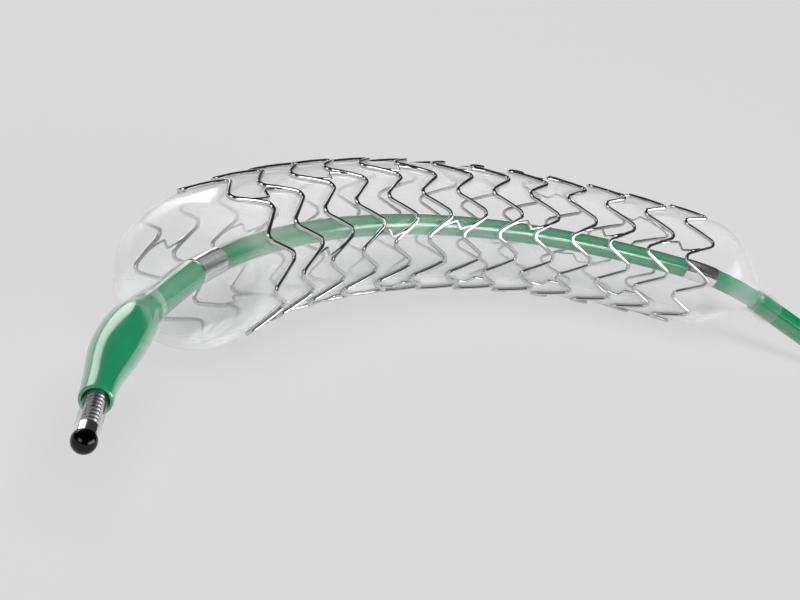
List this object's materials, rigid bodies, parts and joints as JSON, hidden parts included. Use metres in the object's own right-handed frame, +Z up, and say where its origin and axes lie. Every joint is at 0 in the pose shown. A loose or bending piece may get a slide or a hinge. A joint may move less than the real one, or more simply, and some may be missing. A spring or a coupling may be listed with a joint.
{
  "type": "vascular stent on its inflated delivery balloon",
  "caption": "Expanded metal mesh stent in a gentle arc on a clear delivery balloon, with catheter tip, marker bands, shaft and guidewire.",
  "frame": {"origin": "middle of the footprint, on the surface that the stent lies on", "axes": "+Z up; +X along the stent at its middle, towards the shaft; +Y towards the outer side of the arc"},
  "size_m": [0.0256, 0.0088, 0.0032],
  "materials": {
    "stent_metal": "electropolished cobalt-chromium",
    "balloon_film": "clear blown film",
    "clear_polymer": "clear",
    "shaft_polymer": "translucent green",
    "tip_polymer": "soft translucent green",
    "band_metal": "polished platinum alloy",
    "wire_metal": "fine drawn wire",
    "nose_metal": "dark polished"
  },
  "bodies": {
    "root": {"stent": "stent_metal", "balloon": "balloon_film", "neck_collar": "clear_polymer", "outer_shaft": "shaft_polymer", "inner_shaft": "shaft_polymer", "distal_marker_band": "band_metal", "proximal_marker_band": "band_metal", "soft_tip": "tip_polymer", "guidewire_core": "wire_metal", "guidewire_coil": "wire_metal", "guidewire_jacket": "clear_polymer", "guidewire_weld": "band_metal", "guidewire_nose": "nose_metal"}
  },
  "joints": []
}
